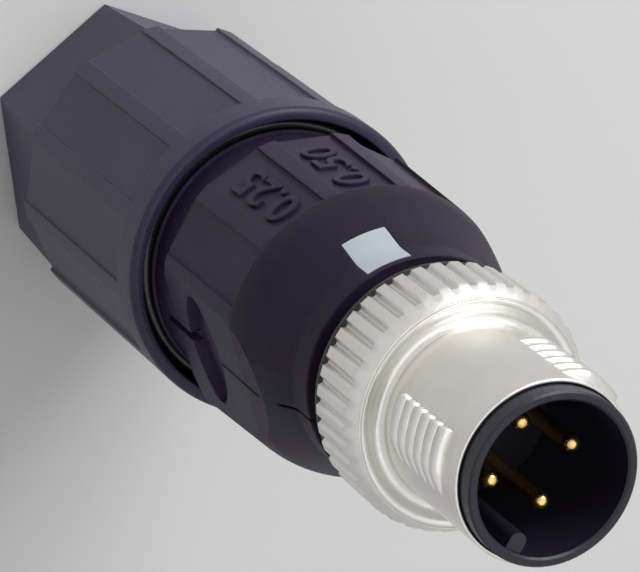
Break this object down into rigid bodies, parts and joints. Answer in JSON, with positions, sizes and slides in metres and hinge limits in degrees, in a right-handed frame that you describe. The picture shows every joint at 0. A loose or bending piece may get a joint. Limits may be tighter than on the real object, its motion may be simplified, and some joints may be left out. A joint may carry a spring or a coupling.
{
  "type": "m12 connector",
  "caption": "Round M12 cable plug with pin contacts, a knurled coupling ring that turns, a moulded housing and a hexagonal union nut that clamps the cable.",
  "frame": {"origin": "centre of the union nut's rear face, on which the plug stands", "axes": "+Z along the plug towards the mating face, +X towards the pale mark on the housing"},
  "size_m": [0.0202, 0.0202, 0.065],
  "materials": {
    "nut_plastic": "semi-matte moulded plastic, dark slate blue",
    "housing_plastic": "fine spark-eroded matte plastic, near black",
    "carrier_plastic": "moulded plastic, dark violet grey",
    "nickel_plate": "satin nickel plating on a zinc casting",
    "gold_plate": "gold plating on brass",
    "mark_plastic": "pale blue grey plastic",
    "seal_rubber": "smooth black rubber",
    "guide_plastic": "moulded plastic, mid grey",
    "cage_plastic": "moulded plastic, dark grey",
    "spring_steel": "bright spring steel"
  },
  "bodies": {
    "plug_body": {"housing": "housing_plastic", "index_mark": "mark_plastic", "pin_carrier": "carrier_plastic", "retaining_ring": "spring_steel", "friction_ring": "seal_rubber", "carrier_seal": "seal_rubber", "nut_seal": "seal_rubber", "contact_pin_1": "gold_plate", "contact_pin_2": "gold_plate", "contact_pin_3": "gold_plate", "contact_pin_4": "gold_plate"},
    "coupling_ring": {"coupling_ring": "nickel_plate"},
    "gland_core": {"wire_guide": "guide_plastic", "clamping_cage": "cage_plastic", "cable_seal": "seal_rubber"},
    "union_nut": {"union_nut": "nut_plastic"}
  },
  "joints": [
    {"name": "ring_turn", "type": "hinge", "parent": "plug_body", "child": "coupling_ring", "pos_m": [0, 0, 0.0524], "axis": [0, 0, 1], "continuous": true},
    {"name": "gland_slide", "type": "slide", "parent": "plug_body", "child": "gland_core", "axis": [0, 0, -1], "range_m": [0, 0.0053]},
    {"name": "nut_turn", "type": "hinge", "parent": "gland_core", "child": "union_nut", "pos_m": [0, 0, 0.014], "axis": [0, 0, -1], "range_deg": [0, 1260]}
  ],
  "couplings": [
    {"joint": "gland_slide", "follows": "nut_turn", "m_per_rad": 0.00023873}
  ]
}
